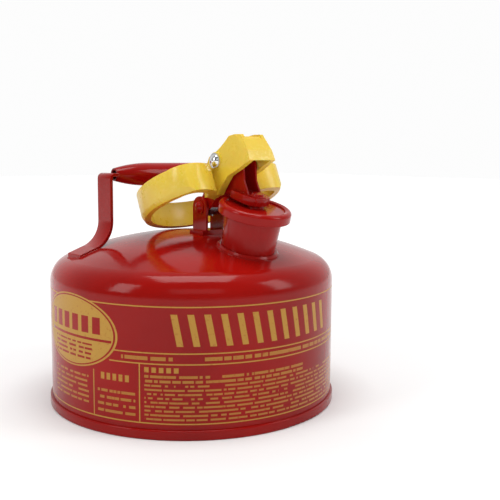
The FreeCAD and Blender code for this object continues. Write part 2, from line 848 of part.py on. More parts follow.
def mirrored(points, side):
    """The same corners on the left, in reverse. Each arc now follows the corner at
    its other end."""
    path = []
    for index in range(len(points) - 1, -1, -1):
        x, ahead = points[index][:2]
        radius = points[index - 1][2:] if index else ()
        path.append(corner(f"-({x})", ahead, radius, side))
    return path


def flip_x(point):
    """Turn a left-hand corner into a right-hand one."""
    return (f"-({point[0]})", *point[1:])


def trigger_ring():
    """Finger ring, bevelled round its lower rim, with a raised hood whose cheeks hold
    the lever."""
    body = new_body("trigger_ring_shape")
    hood = new_sketch(body, "YZ_Plane", "hood_side")
    draw(hood, [
        ("-hood_rear", "hood_root_level"),
        ("-hood_rear", "hood_back_level"),
        ("-hood_crest", "hood_crest_level", "hood_sweep", "right"),
        ("-hood_brow", "hood_brow_level"),
        ("-hood_top_rear", "hood_top"),
        ("-hood_top_front", "hood_top"),
        ("-hood_nose", "hood_nose_level"),
        ("-hood_lip", "hood_lip_level"),
        ("-cheek_front", "cheek_front_level"),
        ("-cheek_middle", "cheek_middle_level"),
        ("-cheek_rear", "cheek_rear_level"),
        ("-cheek_root", "cheek_root_level"),
    ])
    pad(body, hood, "hood_block", "2 * hood_half_width")
    taper = new_sketch(body, "XZ_Plane", "hood_taper")
    for sign in ("", "-"):
        draw(taper, [
            (f"{sign}hood_half_width", "hood_taper_level"),
            (f"{sign}hood_top_half_width", "hood_top + cut_margin"),
            (f"{sign}(hood_half_width + cut_margin)", "hood_top + cut_margin"),
            (f"{sign}(hood_half_width + cut_margin)", "hood_taper_level"),
        ])
    pocket(body, taper, "hood_taper_cut")
    boss = new_sketch(body, "YZ_Plane", "hood_boss")
    draw_circle(boss, "-rivet_front", "rivet_level", "boss_radius")
    pad(body, boss, "hood_boss_pad", "2 * boss_half_width")
    recess = new_sketch(body, "YZ_Plane", "hood_recess")
    draw(recess, [
        ("-groove_rear", "hood_top - hood_rim - groove_rear_fall"),
        ("-hood_top_rear", "hood_top - hood_rim"),
        ("-hood_top_front", "hood_top - hood_rim"),
        ("-groove_front", "hood_top - 2 * hood_rim"),
        ("-groove_end", "hood_top"),
        ("-groove_end", "hood_top + cut_margin"),
        ("-groove_rear", "hood_top + cut_margin"),
    ])
    pocket(body, recess, "hood_recess_cut", "2 * hood_inner")
    band = new_sketch(body, "XY_Plane", "ring_band")
    turn = Rotation(Vector(1, 0, 0), -value("ring_tilt"))
    band.AttachmentOffset = Placement(Vector(0, -value("ring_front"), value("ring_level")), turn)
    bind(band, "AttachmentOffset.Base.y", "-ring_front")
    bind(band, "AttachmentOffset.Base.z", "ring_level")
    draw(band, ring_outline())
    pad(body, band, "ring_band_pad", "ring_height")
    mouth = new_sketch(body, "YZ_Plane", "hood_mouth")
    draw(mouth, [
        ("-mouth_rear", "mouth_low_level"),
        ("-mouth_rear", "mouth_high_level"),
        ("-slot_end_top", "mouth_high_level"),
        ("-slot_end", "slot_end_level"),
        ("-hood_top_rear", "roof_level"),
        ("-roof_front", "roof_level"),
        ("-mouth_nose", "mouth_nose_level"),
        ("-mouth_front", "mouth_front_level"),
        ("-mouth_front", "mouth_low_level"),
    ])
    pocket(body, mouth, "hood_mouth_cut", "2 * hood_inner")
    bore = new_sketch(body, "YZ_Plane", "hood_bore")
    draw_circle(bore, "-rivet_front", "rivet_level", "rivet_radius + fit_gap")
    pocket(body, bore, "hood_bore_cut")
    foot = "-ring_height / 2"
    bevel = revolve("ring_bevel", "XZ_Plane", [
        ("ring_radius - 2 * bevel_width", f"{foot} - bevel_rise"),
        ("ring_radius + bevel_width", f"{foot} - bevel_rise"),
        ("ring_radius + bevel_width", f"{foot} + 2 * bevel_rise"),
    ])
    place(bevel, y="-ring_front", z="ring_level", axis=(-1, 0, 0), angle="ring_tilt")
    keep(combine("Part::Cut", "trigger_ring", body, bevel), "trigger_ring")


def trigger_rivet():
    """Rivet through the hood's cheeks and the lever, with its washers."""
    washer_inner = "(boss_half_width + fit_gap)"
    pin = cross_pin("trigger_rivet", "rivet_radius", f"{washer_inner} + washer_thick + fit_gap",
                    "rivet_head_radius", "rivet_head_rise")
    keep(place(pin, y="-rivet_front", z="rivet_level"), "trigger_rivet")
    washer_pair("rivet_washers", "rivet_radius + fit_gap", "rivet_washer_radius",
                washer_inner, "rivet_front", "rivet_level")


# ---------------------------------------------------------------- carrying handle

def handle_strap():
    """Flat strap: a foot on the crown at each end, two legs and a narrow top bar."""
    inner = "(leg_outer - strap_thick)"
    bend_centre = "(leg_outer + foot_bend)"
    inner_bend = "bar_bend - strap_thick"

    def on_bend(radius):
        x = f"({bend_centre} - ({radius}) * sin(foot_slope))"
        z = f"(foot_bend_level - ({radius}) * cos(foot_slope))"
        return x, z

    top_x, top_z = on_bend("foot_bend")
    reach_drop = f"(foot_reach - {top_x}) * tan(foot_slope)"
    under = on_bend("foot_bend + strap_thick")
    right = [
        ("foot_reach", f"{top_z} - {reach_drop}"),
        (top_x, top_z, "foot_bend", "right"),
        ("leg_outer", "foot_bend_level"),
        ("leg_outer", "bar_top - bar_bend", "bar_bend", "left"),
        ("leg_outer - bar_bend", "bar_top"),
    ]
    back = [
        ("leg_outer - bar_bend", "bar_top - strap_thick", inner_bend, "right"),
        (inner, "bar_top - bar_bend"),
        (inner, "foot_bend_level", "foot_bend + strap_thick", "left"),
        under,
        ("foot_reach", f"{under[1]} - {reach_drop} - foot_spare"),
    ]
    left = []
    for points in (right, back):
        flipped = []
        for index in range(len(points) - 1, -1, -1):
            x, z = points[index][:2]
            bend = points[index - 1][2:] if index else ()
            flipped.append((f"-({x})", z, *bend))
        left.append(flipped)
    body = new_body("handle_strap_shape")
    side = new_sketch(body, "XZ_Plane", "strap_side")
    draw(side, right + left[0] + left[1] + back)
    pad(body, side, "strap_block", "strap_width")
    waist = new_sketch(body, "XY_Plane", "bar_waist")
    for sign in ("", "-"):
        draw(waist, [
            ("-(grip_half_length + cut_margin)", f"{sign}(bar_width / 2)"),
            ("grip_half_length + cut_margin", f"{sign}(bar_width / 2)"),
            ("grip_half_length + cut_margin", f"{sign}(strap_width / 2 + cut_margin)"),
            ("-(grip_half_length + cut_margin)", f"{sign}(strap_width / 2 + cut_margin)"),
        ])
    pocket(body, waist, "bar_waist_cut")
    place(body, y="handle_back")
    keep(trim_on_crown("handle_strap", body), "handle_strap")


def handle_grip():
    """Spindle-shaped sleeve rolled round the top bar, closed in at both ends."""
    run = "(grip_half_length - grip_straight)"
    fall = "(grip_radius - grip_end_radius)"
    sweep = f"(({run} ^ 2 + {fall} ^ 2) / (2 * {fall}))"
    inner_sweep = f"({sweep} - grip_wall)"
    inner_x = "(grip_half_length - grip_wall)"
    inner_end = f"grip_radius - {sweep} + sqrt({inner_sweep} ^ 2 - ({run} - grip_wall) ^ 2)"
    body = revolve("handle_grip", "XY_Plane", [
        ("-grip_half_length", "grip_bore"),
        (f"-{inner_x}", "grip_bore"),
        (f"-{inner_x}", inner_end, inner_sweep, "right"),
        ("-grip_straight", "grip_radius - grip_wall"),
        ("grip_straight", "grip_radius - grip_wall", inner_sweep, "right"),
        (inner_x, inner_end),
        (inner_x, "grip_bore"),
        ("grip_half_length", "grip_bore"),
        ("grip_half_length", "grip_end_radius", sweep, "left"),
        ("grip_straight", "grip_radius"),
        ("-grip_straight", "grip_radius", sweep, "left"),
        ("-grip_half_length", "grip_end_radius"),
    ], axis="H_Axis")
    keep(place(body, y="handle_back", z="bar_top - strap_thick / 2"), "handle_grip")


# ---------------------------------------------------------------- build and write

can_body()
can_bottom()
spout_tube()
spout_flange()
arrester_screen()
arrester_collar()
cap_lid()
cap_stack()
cap_stem()
cap_spring()
hinge_bracket()
hinge_pin()
hinge_bush()
closing_spring()
cap_lever()
trigger_ring()
trigger_rivet()
handle_strap()
handle_grip()
doc.recompute()

for item in doc.Objects:
    if "Invalid" in item.State or "Error" in item.State:
        raise RuntimeError(f"{item.Name} failed: {item.State}")
os.makedirs("parts", exist_ok=True)
for part in SUB_PARTS:
    shape = part.Shape
    if shape.isNull() or not shape.isValid():
        raise RuntimeError(f"{part.Label} has no valid shape")
    shape.exportStep(f"parts/{part.Label}.step")
    print(f"{part.Label}: {len(shape.Solids)} solid(s), {shape.Volume:.1f} mm3")
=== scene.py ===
import math
import random
from collections import namedtuple

import bmesh
import bpy
from mathutils import Matrix, Vector


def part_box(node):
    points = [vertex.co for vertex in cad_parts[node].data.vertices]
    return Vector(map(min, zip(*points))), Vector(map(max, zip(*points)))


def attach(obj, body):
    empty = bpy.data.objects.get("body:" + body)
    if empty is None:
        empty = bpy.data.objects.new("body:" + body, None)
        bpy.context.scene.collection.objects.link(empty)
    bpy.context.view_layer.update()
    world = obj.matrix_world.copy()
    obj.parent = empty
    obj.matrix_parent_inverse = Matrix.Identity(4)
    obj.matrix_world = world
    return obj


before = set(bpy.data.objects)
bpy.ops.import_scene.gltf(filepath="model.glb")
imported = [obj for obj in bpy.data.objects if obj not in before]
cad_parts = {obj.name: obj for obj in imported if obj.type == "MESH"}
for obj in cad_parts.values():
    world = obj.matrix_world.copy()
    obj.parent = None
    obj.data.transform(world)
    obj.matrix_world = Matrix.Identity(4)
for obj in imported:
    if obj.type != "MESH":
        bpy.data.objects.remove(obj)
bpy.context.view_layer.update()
MM = 0.001

BODY_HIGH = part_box("can_body")[1]
BODY_RADIUS = BODY_HIGH[0]
CROWN_TOP = BODY_HIGH[2]
SEAM_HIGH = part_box("can_bottom")[1]
CROWN_RADIUS = 262.9 * MM
SPOUT_TILT = math.radians(14.9)

# Colours of the object and of the floor.
RED = (0.33, 0.005, 0.003, 1.0)
DARK_RED = (0.24, 0.003, 0.002, 1.0)
INK = (0.50, 0.27, 0.045, 1.0)
YELLOW = (0.76, 0.54, 0.042, 1.0)
AMBER = (0.66, 0.36, 0.014, 1.0)
PALE_YELLOW = (0.95, 0.78, 0.30, 1.0)
BRIGHT_STEEL = (0.82, 0.82, 0.81, 1.0)
STEEL = (0.56, 0.56, 0.55, 1.0)
DARK_STEEL = (0.28, 0.28, 0.29, 1.0)
WIRE = (0.12, 0.12, 0.13, 1.0)
BLACK = (0.03, 0.03, 0.032, 1.0)
GREY_BLOOM = (0.10, 0.10, 0.10, 1.0)
WHITE = (0.90, 0.90, 0.90, 1.0)
OFF_WHITE = (0.87, 0.87, 0.87, 1.0)
PURE_WHITE = (1.0, 1.0, 1.0, 1.0)

# The printed panel. Places are degrees round from the spout and millimetres up the wall.
Field = namedtuple("Field", "start end low high")
PRINT_DEPTH = 0.6 * MM
RULE = 0.85
MM_PER_DEGREE = 2
PANEL_LOW, PANEL_HIGH = 11.3, 92.5
BACK = 181
BAND_LOW, BAND_HIGH = 53.0, 60.5
BAND_LOW_START, BAND_HIGH_START = -68, -66
PANEL_END = 96
MAIN_COLUMN = -56.0
SIDE_COLUMN, SIDE_COLUMN_HIGH = -75.3, 44.5
WORD = Field(-43.7, 26.0, 65.5, 87.5)
BAND_NOTES = (Field(-63.0, -44.0, 55.4, 58.2), Field(-33.0, 60.0, 55.4, 58.2))
SIDE_TITLE = Field(-71.8, -59.0, 38.8, 43.6)
SIDE_TEXT = Field(-73.4, -57.6, 15.5, 32.0)
BADGE_NOTE = Field(-102.0, -78.0, 19.0, 40.0)
MAIN_TITLE = Field(-54.2, -41.0, 47.0, 50.6)
MAIN_LEAD = Field(-54.2, 8.0, 40.0, 46.2)
MAIN_TEXT = Field(-54.2, 92.0, 13.6, 39.4)
BADGE_TURN, BADGE_LEVEL = -88.0, 69.6
BADGE_HALF_TURN, BADGE_HALF_HEIGHT = 23.6, 26.2
BADGE_RING, BADGE_FACE = 0.925, 0.86
BADGE_WORD = Field(-104.5, -70.0, 69.5, 81.5)
BADGE_RULE = Field(-106.0, -67.0, 64.6, 66.4)
BADGE_TEXT = Field(-101.0, -76.0, 50.5, 62.0)
WORD_STRENGTH, TITLE_STRENGTH, TEXT_STRENGTH = 0.92, 0.85, 0.66


# ---------------------------------------------------------------- material nodes

class Paint:
    """A node material, built with short calls. A socket or a number goes in anywhere."""

    EDGE_STARTS, EDGE_FULL = 0.52, 0.58

    def __init__(self, name):
        self.material = bpy.data.materials.new(name)
        self.material.use_nodes = True
        self.tree = self.material.node_tree
        self.shader = self.tree.nodes["Principled BSDF"]
        coordinates = self.tree.nodes.new("ShaderNodeTexCoord")
        self.place = coordinates.outputs["Object"]

    def node(self, kind, **settings):
        made = self.tree.nodes.new(kind)
        for key, setting in settings.items():
            setattr(made, key, setting)
        return made

    def feed(self, socket, given):
        if isinstance(given, bpy.types.NodeSocket):
            self.tree.links.new(given, socket)
        else:
            socket.default_value = given

    def math(self, operation, *given):
        made = self.node("ShaderNodeMath", operation=operation)
        for socket, value in zip(made.inputs, given):
            self.feed(socket, value)
        return made.outputs[0]

    def both(self, first, second):
        return self.math("MULTIPLY", first, second)

    def either(self, first, second):
        return self.math("MAXIMUM", first, second)

    def between(self, what, low, high):
        above = self.math("GREATER_THAN", what, low)
        below = self.math("LESS_THAN", what, high)
        return self.both(above, below)

    def noise(self, scale, detail, rough=0.5, place=None):
        made = self.node("ShaderNodeTexNoise")
        self.feed(made.inputs["Vector"], place or self.place)
        made.inputs["Scale"].default_value = scale
        made.inputs["Detail"].default_value = detail
        made.inputs["Roughness"].default_value = rough
        return made.outputs["Fac"]

    def remap(self, what, low, high, new_low, new_high):
        made = self.node("ShaderNodeMapRange")
        for socket, given in zip(made.inputs, (what, low, high, new_low, new_high)):
            self.feed(socket, given)
        return made.outputs[0]

    def patches(self, scale, detail, start, end, least=0.0, most=1.0, rough=0.5):
        """Noise that is least below start, most above end, and fades between them."""
        return self.remap(self.noise(scale, detail, rough), start, end, least, most)

    def mix(self, share, first, second):
        made = self.node("ShaderNodeMix", data_type="RGBA")
        for socket, given in zip((made.inputs[0], made.inputs[6], made.inputs[7]),
                                 (share, first, second)):
            self.feed(socket, given)
        return made.outputs[2]

    def edges(self):
        """1 on sharp outer edges, 0 on flat ground."""
        pointed = self.node("ShaderNodeNewGeometry").outputs["Pointiness"]
        return self.remap(pointed, self.EDGE_STARTS, self.EDGE_FULL, 0.0, 1.0)

    def bump(self, height, strength, distance, under=None):
        made = self.node("ShaderNodeBump")
        self.feed(made.inputs["Height"], height)
        made.inputs["Strength"].default_value = strength
        made.inputs["Distance"].default_value = distance
        if under is not None:
            self.tree.links.new(under, made.inputs["Normal"])
        return made.outputs[0]

    def finish(self, colour, rough, normal=None, **plain):
        self.feed(self.shader.inputs["Base Color"], colour)
        self.feed(self.shader.inputs["Roughness"], rough)
        if normal is not None:
            self.tree.links.new(normal, self.shader.inputs["Normal"])
        for name, setting in plain.items():
            self.shader.inputs[name.replace("_", " ")].default_value = setting
        return self.material


def enamel(paint, printed=None, wear=0.0):
    """Glossy baked enamel: slight orange peel, cloudy depth, and edges rubbed by use."""
    cloud = paint.patches(scale=9.0, detail=4.0, start=0.35, end=0.65)
    colour = paint.mix(cloud, RED, DARK_RED)
    if wear:
        edges = paint.edges()
        rubs = paint.patches(scale=260.0, detail=5.0, start=0.56, end=0.66, most=wear)
        colour = paint.mix(paint.both(edges, rubs), colour, DARK_STEEL)
    smear = paint.patches(scale=34.0, detail=6.0, rough=0.65, start=0.4, end=0.75,
                          least=0.10, most=0.26)
    rough = smear
    peel = paint.bump(paint.noise(scale=210.0, detail=2.0), strength=0.10, distance=0.6 * MM)
    if printed is not None:
        worn = paint.patches(scale=520.0, detail=4.0, start=0.26, end=0.42, least=0.55)
        ink = paint.both(printed, worn)
        colour = paint.mix(ink, colour, INK)
        rough = paint.remap(ink, low=0.0, high=1.0, new_low=smear, new_high=0.42)
        peel = paint.bump(ink, strength=0.25, distance=0.12 * MM, under=peel)
    return paint.finish(colour, rough, peel, Coat_Weight=0.12, Coat_Roughness=0.14,
                        Specular_IOR_Level=0.14)


def handled_enamel():
    """The enamel of the parts that hands and knocks rub."""
    return enamel(Paint("handled_enamel"), wear=0.28)


def plain_enamel():
    """The enamel of the parts that nothing touches."""
    return enamel(Paint("plain_enamel"))


class Label:
    """The ink of the printed panel on the wall."""

    DASHES_PER_DEGREE = 0.62
    ROW_SHIFT = 7.3
    GAPS_BELOW = 0.40

    def __init__(self, paint):
        self.paint = paint
        split = paint.node("ShaderNodeSeparateXYZ")
        paint.feed(split.inputs[0], paint.place)
        x, y, z = split.outputs
        turn = paint.math("ARCTAN2", x, paint.math("MULTIPLY", y, -1.0))
        self.turn = paint.math("MULTIPLY", turn, math.degrees(1.0))
        self.level = paint.math("MULTIPLY", z, 1.0 / MM)
        inner = (BODY_RADIUS - PRINT_DEPTH) / MM
        self.outside = paint.math("GREATER_THAN", self.radius(x, y), inner)
        self.ink = 0.0

    def radius(self, x, y):
        """Millimetres from the can's axis."""
        paint = self.paint
        square = paint.math("ADD", paint.both(x, x), paint.both(y, y))
        return paint.math("MULTIPLY", paint.math("SQRT", square), 1.0 / MM)

    def add(self, mask, strength=1.0):
        self.ink = self.paint.either(self.ink, self.paint.both(mask, strength))

    def box(self, field):
        across = self.paint.between(self.turn, field.start, field.end)
        up = self.paint.between(self.level, field.low, field.high)
        return self.paint.both(across, up)

    def rule_across(self, level, start, end):
        self.add(self.box(Field(start, end, level - RULE / 2, level + RULE / 2)))

    def rule_up(self, turn, low, high):
        half = RULE / 2 / MM_PER_DEGREE
        self.add(self.box(Field(turn - half, turn + half, low, high)))

    def badge(self):
        """0 in the middle of the oval badge, 1 on its outline."""
        paint = self.paint
        from_turn = paint.math("SUBTRACT", self.turn, BADGE_TURN)
        across = paint.math("DIVIDE", from_turn, BADGE_HALF_TURN)
        from_level = paint.math("SUBTRACT", self.level, BADGE_LEVEL)
        up = paint.math("DIVIDE", from_level, BADGE_HALF_HEIGHT)
        return paint.math("ADD", paint.both(across, across), paint.both(up, up))

    def bars(self, field, count, share, slope=0.0):
        """A row of like bars, upright or slanted."""
        paint = self.paint
        above_middle = paint.math("SUBTRACT", self.level, (field.low + field.high) / 2)
        lean = paint.math("MULTIPLY_ADD", above_middle, slope, self.turn)
        along = paint.remap(lean, field.start, field.end, 0.0, count)
        step = paint.math("LESS_THAN", paint.math("FRACT", along), share)
        across = paint.between(lean, field.start, field.end)
        up = paint.between(self.level, field.low, field.high)
        return paint.both(paint.both(across, up), step)

    def dashes(self, field, pitch, height, seed):
        """Rows of plain short dashes of uneven length."""
        paint = self.paint
        rows = paint.math("DIVIDE", paint.math("SUBTRACT", self.level, field.low), pitch)
        row = paint.math("FLOOR", rows)
        in_row = paint.math("LESS_THAN", paint.math("FRACT", rows), height / pitch)
        join = paint.node("ShaderNodeCombineXYZ")
        paint.feed(join.inputs[0], paint.math("MULTIPLY", self.turn, self.DASHES_PER_DEGREE))
        paint.feed(join.inputs[1], paint.math("MULTIPLY", row, self.ROW_SHIFT))
        join.inputs[2].default_value = seed
        uneven = paint.noise(scale=1.0, detail=0.0, place=join.outputs[0])
        broken = paint.math("GREATER_THAN", uneven, self.GAPS_BELOW)
        return paint.both(self.box(field), paint.both(in_row, broken))


def printed_enamel():
    """The wall's enamel with its printed panel: rules, a plain oval badge, bars and dashes."""
    paint = Paint("printed_enamel")
    label = Label(paint)
    label.rule_across(PANEL_HIGH, -BACK, BACK)
    label.rule_across(PANEL_LOW, -BACK, BACK)
    label.rule_across(BAND_HIGH, BAND_HIGH_START, PANEL_END)
    label.rule_across(BAND_LOW, BAND_LOW_START, PANEL_END)
    label.rule_up(MAIN_COLUMN, PANEL_LOW, BAND_LOW)
    label.rule_up(SIDE_COLUMN, PANEL_LOW, SIDE_COLUMN_HIGH)
    label.rule_up(PANEL_END, PANEL_LOW, PANEL_HIGH)
    label.add(label.bars(WORD, count=12, share=0.40, slope=0.10), WORD_STRENGTH)
    for note, seed in zip(BAND_NOTES, (3.0, 8.0)):
        label.add(label.dashes(note, pitch=9.0, height=2.6, seed=seed), TEXT_STRENGTH)
    label.add(label.bars(SIDE_TITLE, count=5, share=0.6), TITLE_STRENGTH)
    label.add(label.dashes(SIDE_TEXT, pitch=4.8, height=1.9, seed=1.0), TEXT_STRENGTH)
    label.add(label.dashes(BADGE_NOTE, pitch=3.7, height=1.5, seed=5.0), TEXT_STRENGTH)
    label.add(label.bars(MAIN_TITLE, count=5, share=0.62), TITLE_STRENGTH)
    label.add(label.dashes(MAIN_LEAD, pitch=3.3, height=1.8, seed=2.0), TEXT_STRENGTH)
    label.add(label.dashes(MAIN_TEXT, pitch=2.95, height=1.3, seed=4.0), TEXT_STRENGTH)
    badge = label.badge()
    clear = paint.math("GREATER_THAN", badge, 1.0)
    ring = paint.between(badge, BADGE_RING, 1.0)
    face = paint.math("LESS_THAN", badge, BADGE_FACE)
    gaps = paint.either(label.bars(BADGE_WORD, count=6, share=0.66), label.box(BADGE_RULE))
    gaps = paint.either(gaps, label.dashes(BADGE_TEXT, pitch=3.4, height=1.6, seed=6.0))
    badge_ink = paint.either(ring, paint.both(face, paint.math("SUBTRACT", 1.0, gaps)))
    ink = paint.either(paint.both(label.ink, clear), badge_ink)
    return enamel(paint, paint.both(ink, label.outside))


def moulded_yellow():
    """Moulded plastic: fine texture, amber depth in the mass, scuffs on the edges."""
    paint = Paint("moulded_yellow")
    cloud = paint.patches(scale=26.0, detail=5.0, rough=0.6, start=0.38, end=0.7, most=0.30)
    colour = paint.mix(cloud, YELLOW, AMBER)
    edges = paint.edges()
    scuffs = paint.patches(scale=420.0, detail=4.0, start=0.5, end=0.62, most=0.5)
    colour = paint.mix(paint.both(edges, scuffs), colour, PALE_YELLOW)
    rough = paint.patches(scale=55.0, detail=6.0, rough=0.7, start=0.35, end=0.7,
                          least=0.24, most=0.40)
    flow = paint.bump(paint.noise(scale=24.0, detail=2.0), strength=0.12, distance=MM)
    grain = paint.bump(paint.noise(scale=1600.0, detail=2.0), strength=0.12,
                       distance=0.2 * MM, under=flow)
    return paint.finish(colour, rough, grain, Subsurface_Weight=0.12,
                        Subsurface_Scale=4 * MM, Coat_Weight=0.15, Coat_Roughness=0.2)


def metal(name, bright, dark, smoothest, roughest):
    """Turned or drawn metal with fine grain and a little tarnish."""
    paint = Paint(name)
    tarnish = paint.patches(scale=120.0, detail=6.0, rough=0.7, start=0.45, end=0.72, most=0.6)
    colour = paint.mix(tarnish, bright, dark)
    rough = paint.patches(scale=300.0, detail=4.0, start=0.3, end=0.7,
                          least=smoothest, most=roughest)
    lines = paint.bump(paint.noise(scale=900.0, detail=3.0), strength=0.15, distance=0.2 * MM)
    return paint.finish(colour, rough, lines, Metallic=1.0)


def seal_rubber():
    """Black rubber with a faint grey bloom."""
    paint = Paint("seal_rubber_black")
    bloom = paint.patches(scale=90.0, detail=5.0, start=0.45, end=0.7, most=0.35)
    colour = paint.mix(bloom, BLACK, GREY_BLOOM)
    rough = paint.patches(scale=240.0, detail=3.0, start=0.3, end=0.7, least=0.55, most=0.8)
    skin = paint.bump(paint.noise(scale=1500.0, detail=2.0), strength=0.25, distance=0.2 * MM)
    return paint.finish(colour, rough, skin)


def pale_floor():
    """Plain white floor with painted light: it glows more with distance from the can, standing
    in for a lit paper sweep.
    """
    paint = Paint("pale_floor")
    shade = paint.patches(scale=3.0, detail=2.0, start=0.3, end=0.7)
    colour = paint.mix(shade, WHITE, OFF_WHITE)
    reach = paint.node("ShaderNodeVectorMath", operation="LENGTH")
    paint.feed(reach.inputs[0], paint.place)
    # Painted light: emission that grows with distance from the can, in place of lamp light on
    # the far floor.
    painted_far_glow = paint.remap(reach.outputs["Value"], low=0.15, high=1.3, new_low=0.0, new_high=0.62)
    paint.feed(paint.shader.inputs["Emission Strength"], painted_far_glow)
    return paint.finish(colour, rough=0.9, Emission_Color=PURE_WHITE)


# ---------------------------------------------------------------- CAD nodes

HANDLED_NODES = ("cap_lid", "hinge_bracket", "cap_lever", "handle_strap", "handle_grip")
PLAIN_RED_NODES = ("can_bottom", "spout_tube", "spout_flange", "hinge_pin", "hinge_washers",
                   "cap_stem", "stem_washer", "cap_spring")
STEEL_NODES = ("arrester_screen", "arrester_collar", "gasket_retainer", "hinge_bush")
RIVET_NODES = ("trigger_rivet", "rivet_washers")
BEVELS = {"trigger_ring": 1.1, "handle_strap": 0.5, "cap_lever": 0.35, "hinge_bracket": 0.45}
BEVEL_SEGMENTS = 3
BEVEL_ANGLE = math.radians(32)
WELD_GAP = 0.01 * MM


def dress(names, material):
    """Give CAD nodes their material."""
    for name in names:
        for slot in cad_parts[name].material_slots:
            slot.material = material


def soften(name, width):
    """Break the sharp edges of a CAD node with a small bevel."""
    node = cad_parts[name]
    weld = node.modifiers.new("weld", "WELD")
    weld.merge_threshold = WELD_GAP
    bevel = node.modifiers.new("bevel", "BEVEL")
    bevel.width = width * MM
    bevel.segments = BEVEL_SEGMENTS
    bevel.limit_method = "ANGLE"
    bevel.angle_limit = BEVEL_ANGLE


def dress_cad():
    """Dress every CAD node. The red of the plain parts is returned for the weld beads."""
    red = plain_enamel()
    dress(PLAIN_RED_NODES, red)
    dress(HANDLED_NODES, handled_enamel())
    dress(("can_body",), printed_enamel())
    dress(("trigger_ring",), moulded_yellow())
    dress(STEEL_NODES, metal("zinc_plate", STEEL, DARK_STEEL, smoothest=0.28, roughest=0.45))
    dress(("closing_spring",),
          metal("spring_wire", DARK_STEEL, WIRE, smoothest=0.25, roughest=0.4))
    dress(RIVET_NODES,
          metal("bright_rivet_steel", BRIGHT_STEEL, STEEL, smoothest=0.08, roughest=0.18))
    dress(("cap_gasket",), seal_rubber())
    for name, width in BEVELS.items():
        soften(name, width)
    return red


# ---------------------------------------------------------------- small pieces

BEAD_SIDES = 10
BEAD_SWELL, BEAD_WAVE, BEAD_UNEVEN = 0.06, 0.9, 0.02
SPOUT_BEAD, SPOUT_BEAD_STEPS, SPOUT_BEAD_SEED = 0.45 * MM, 150, 4
FOOT_BEAD, FOOT_BEAD_STEPS, FOOT_BEAD_SEED = 0.65 * MM, 16, 7
FOOT_LENGTH = 17 * MM
SEAM_HALF_WIDTH, SEAM_RISE, SEAM_SUNK = 2.2 * MM, 0.28 * MM, 0.03 * MM
SEAM_GAP, SEAM_END = 0.2 * MM, 92 * MM
SEAM_STEPS, SEAM_COLUMNS = 44, 8
SEAM_SWELL, SEAM_WAVE = 0.12, 1.9


def crown_level(x, y):
    """Height of the crown's surface over a point."""
    return CROWN_TOP - CROWN_RADIUS + math.sqrt(CROWN_RADIUS ** 2 - x * x - y * y)


def new_piece(name, shape, material, body):
    """Turn a bmesh into a smooth piece that rides on a body."""
    mesh = bpy.data.meshes.new(name)
    shape.to_mesh(mesh)
    shape.free()
    for face in mesh.polygons:
        face.use_smooth = True
    piece = bpy.data.objects.new(name, mesh)
    bpy.context.scene.collection.objects.link(piece)
    piece.data.materials.append(material)
    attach(piece, body)


def weld_bead(name, path, radius, material, seed):
    """An uneven bead of weld laid along a closed path of points."""
    rng = random.Random(seed)
    shape = bmesh.new()
    rings = []
    count = len(path)
    for index, point in enumerate(path):
        along = (path[(index + 1) % count] - path[index - 1]).normalized()
        across = along.cross(Vector((0, 0, 1))).normalized()
        up = across.cross(along)
        uneven = rng.uniform(-BEAD_UNEVEN, BEAD_UNEVEN)
        swell = radius * (1.0 + BEAD_SWELL * math.sin(index * BEAD_WAVE) + uneven)
        ring = []
        for side in range(BEAD_SIDES):
            turn = 2 * math.pi * side / BEAD_SIDES
            offset = across * math.cos(turn) + up * math.sin(turn)
            ring.append(shape.verts.new(point + offset * swell))
        rings.append(ring)
    for here, there in zip(rings, rings[1:] + rings[:1]):
        for side in range(BEAD_SIDES):
            far = (side + 1) % BEAD_SIDES
            shape.faces.new((here[side], here[far], there[far], there[side]))
    bmesh.ops.recalc_face_normals(shape, faces=shape.faces)
    new_piece(name, shape, material, "can")


def spout_bead(material):
    """Weld round the spout's root, under the paint."""
    lean = Matrix.Rotation(SPOUT_TILT, 3, "X")
    foot = Vector((0, -CROWN_RADIUS * math.sin(SPOUT_TILT), 0))
    flange_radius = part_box("spout_flange")[1][0]
    path = []
    for index in range(SPOUT_BEAD_STEPS):
        turn = 2 * math.pi * index / SPOUT_BEAD_STEPS
        offset = lean @ Vector((math.cos(turn), math.sin(turn), 0)) * flange_radius
        x, y = foot.x + offset.x, foot.y + offset.y
        path.append(Vector((x, y, crown_level(x, y))))
    weld_bead("spout_weld", path, SPOUT_BEAD, material, SPOUT_BEAD_SEED)


def foot_beads(material):
    """Weld round each strap foot where it meets the crown."""
    low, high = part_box("handle_strap")
    outer, inner = high[0], high[0] - FOOT_LENGTH
    corners = [(outer, low[1]), (outer, high[1]), (inner, high[1]), (inner, low[1])]
    for side, name in ((-1, "left"), (1, "right")):
        path = []
        for corner, after in zip(corners, corners[1:] + corners[:1]):
            for step in range(FOOT_BEAD_STEPS):
                share = step / FOOT_BEAD_STEPS
                x = side * (corner[0] + (after[0] - corner[0]) * share)
                y = corner[1] + (after[1] - corner[1]) * share
                path.append(Vector((x, y, crown_level(x, y))))
        weld_bead(f"foot_weld_{name}", path, FOOT_BEAD, material, FOOT_BEAD_SEED)


